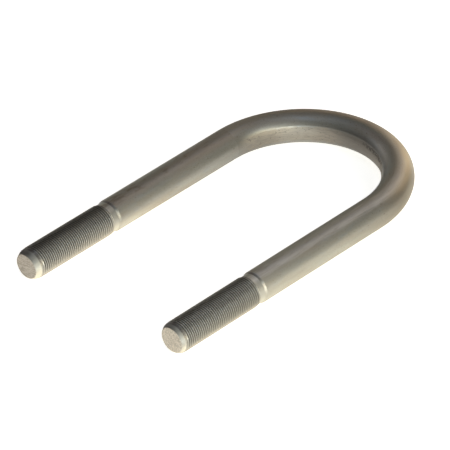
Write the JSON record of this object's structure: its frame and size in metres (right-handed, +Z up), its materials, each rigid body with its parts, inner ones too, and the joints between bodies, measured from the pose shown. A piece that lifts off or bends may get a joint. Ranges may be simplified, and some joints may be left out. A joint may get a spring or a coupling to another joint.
{
  "type": "u-bolt",
  "caption": "Round-bend U-bolt of bare steel bar. Each leg steps down at a shoulder to a plain neck and a rolled fine thread with a chamfered tip.",
  "frame": {"origin": "centre of the bend, halfway through the bar: the axis of the tube or axle that the bend holds passes through it along Z", "axes": "the bolt lies flat in the XY plane, the legs point along -Y with the tips foremost, the bend closes the U towards +Y, the right leg is at +X, and +Z is up"},
  "size_m": [0.137, 0.237, 0.02],
  "materials": {
    "shank_steel": "bare drawn steel, satin, with a light brown tint and fine scuffs along the bar",
    "bend_steel": "bare steel, satin outside, dull and scuffed with small pits on the inside where the former bore on it",
    "thread_steel": "rolled thread, oiled and darker in the roots, with brighter crests, neck and cut tip"
  },
  "bodies": {
    "root": {"bend": "bend_steel", "left_shank": "shank_steel", "right_shank": "shank_steel", "left_thread": "thread_steel", "right_thread": "thread_steel"}
  },
  "joints": []
}
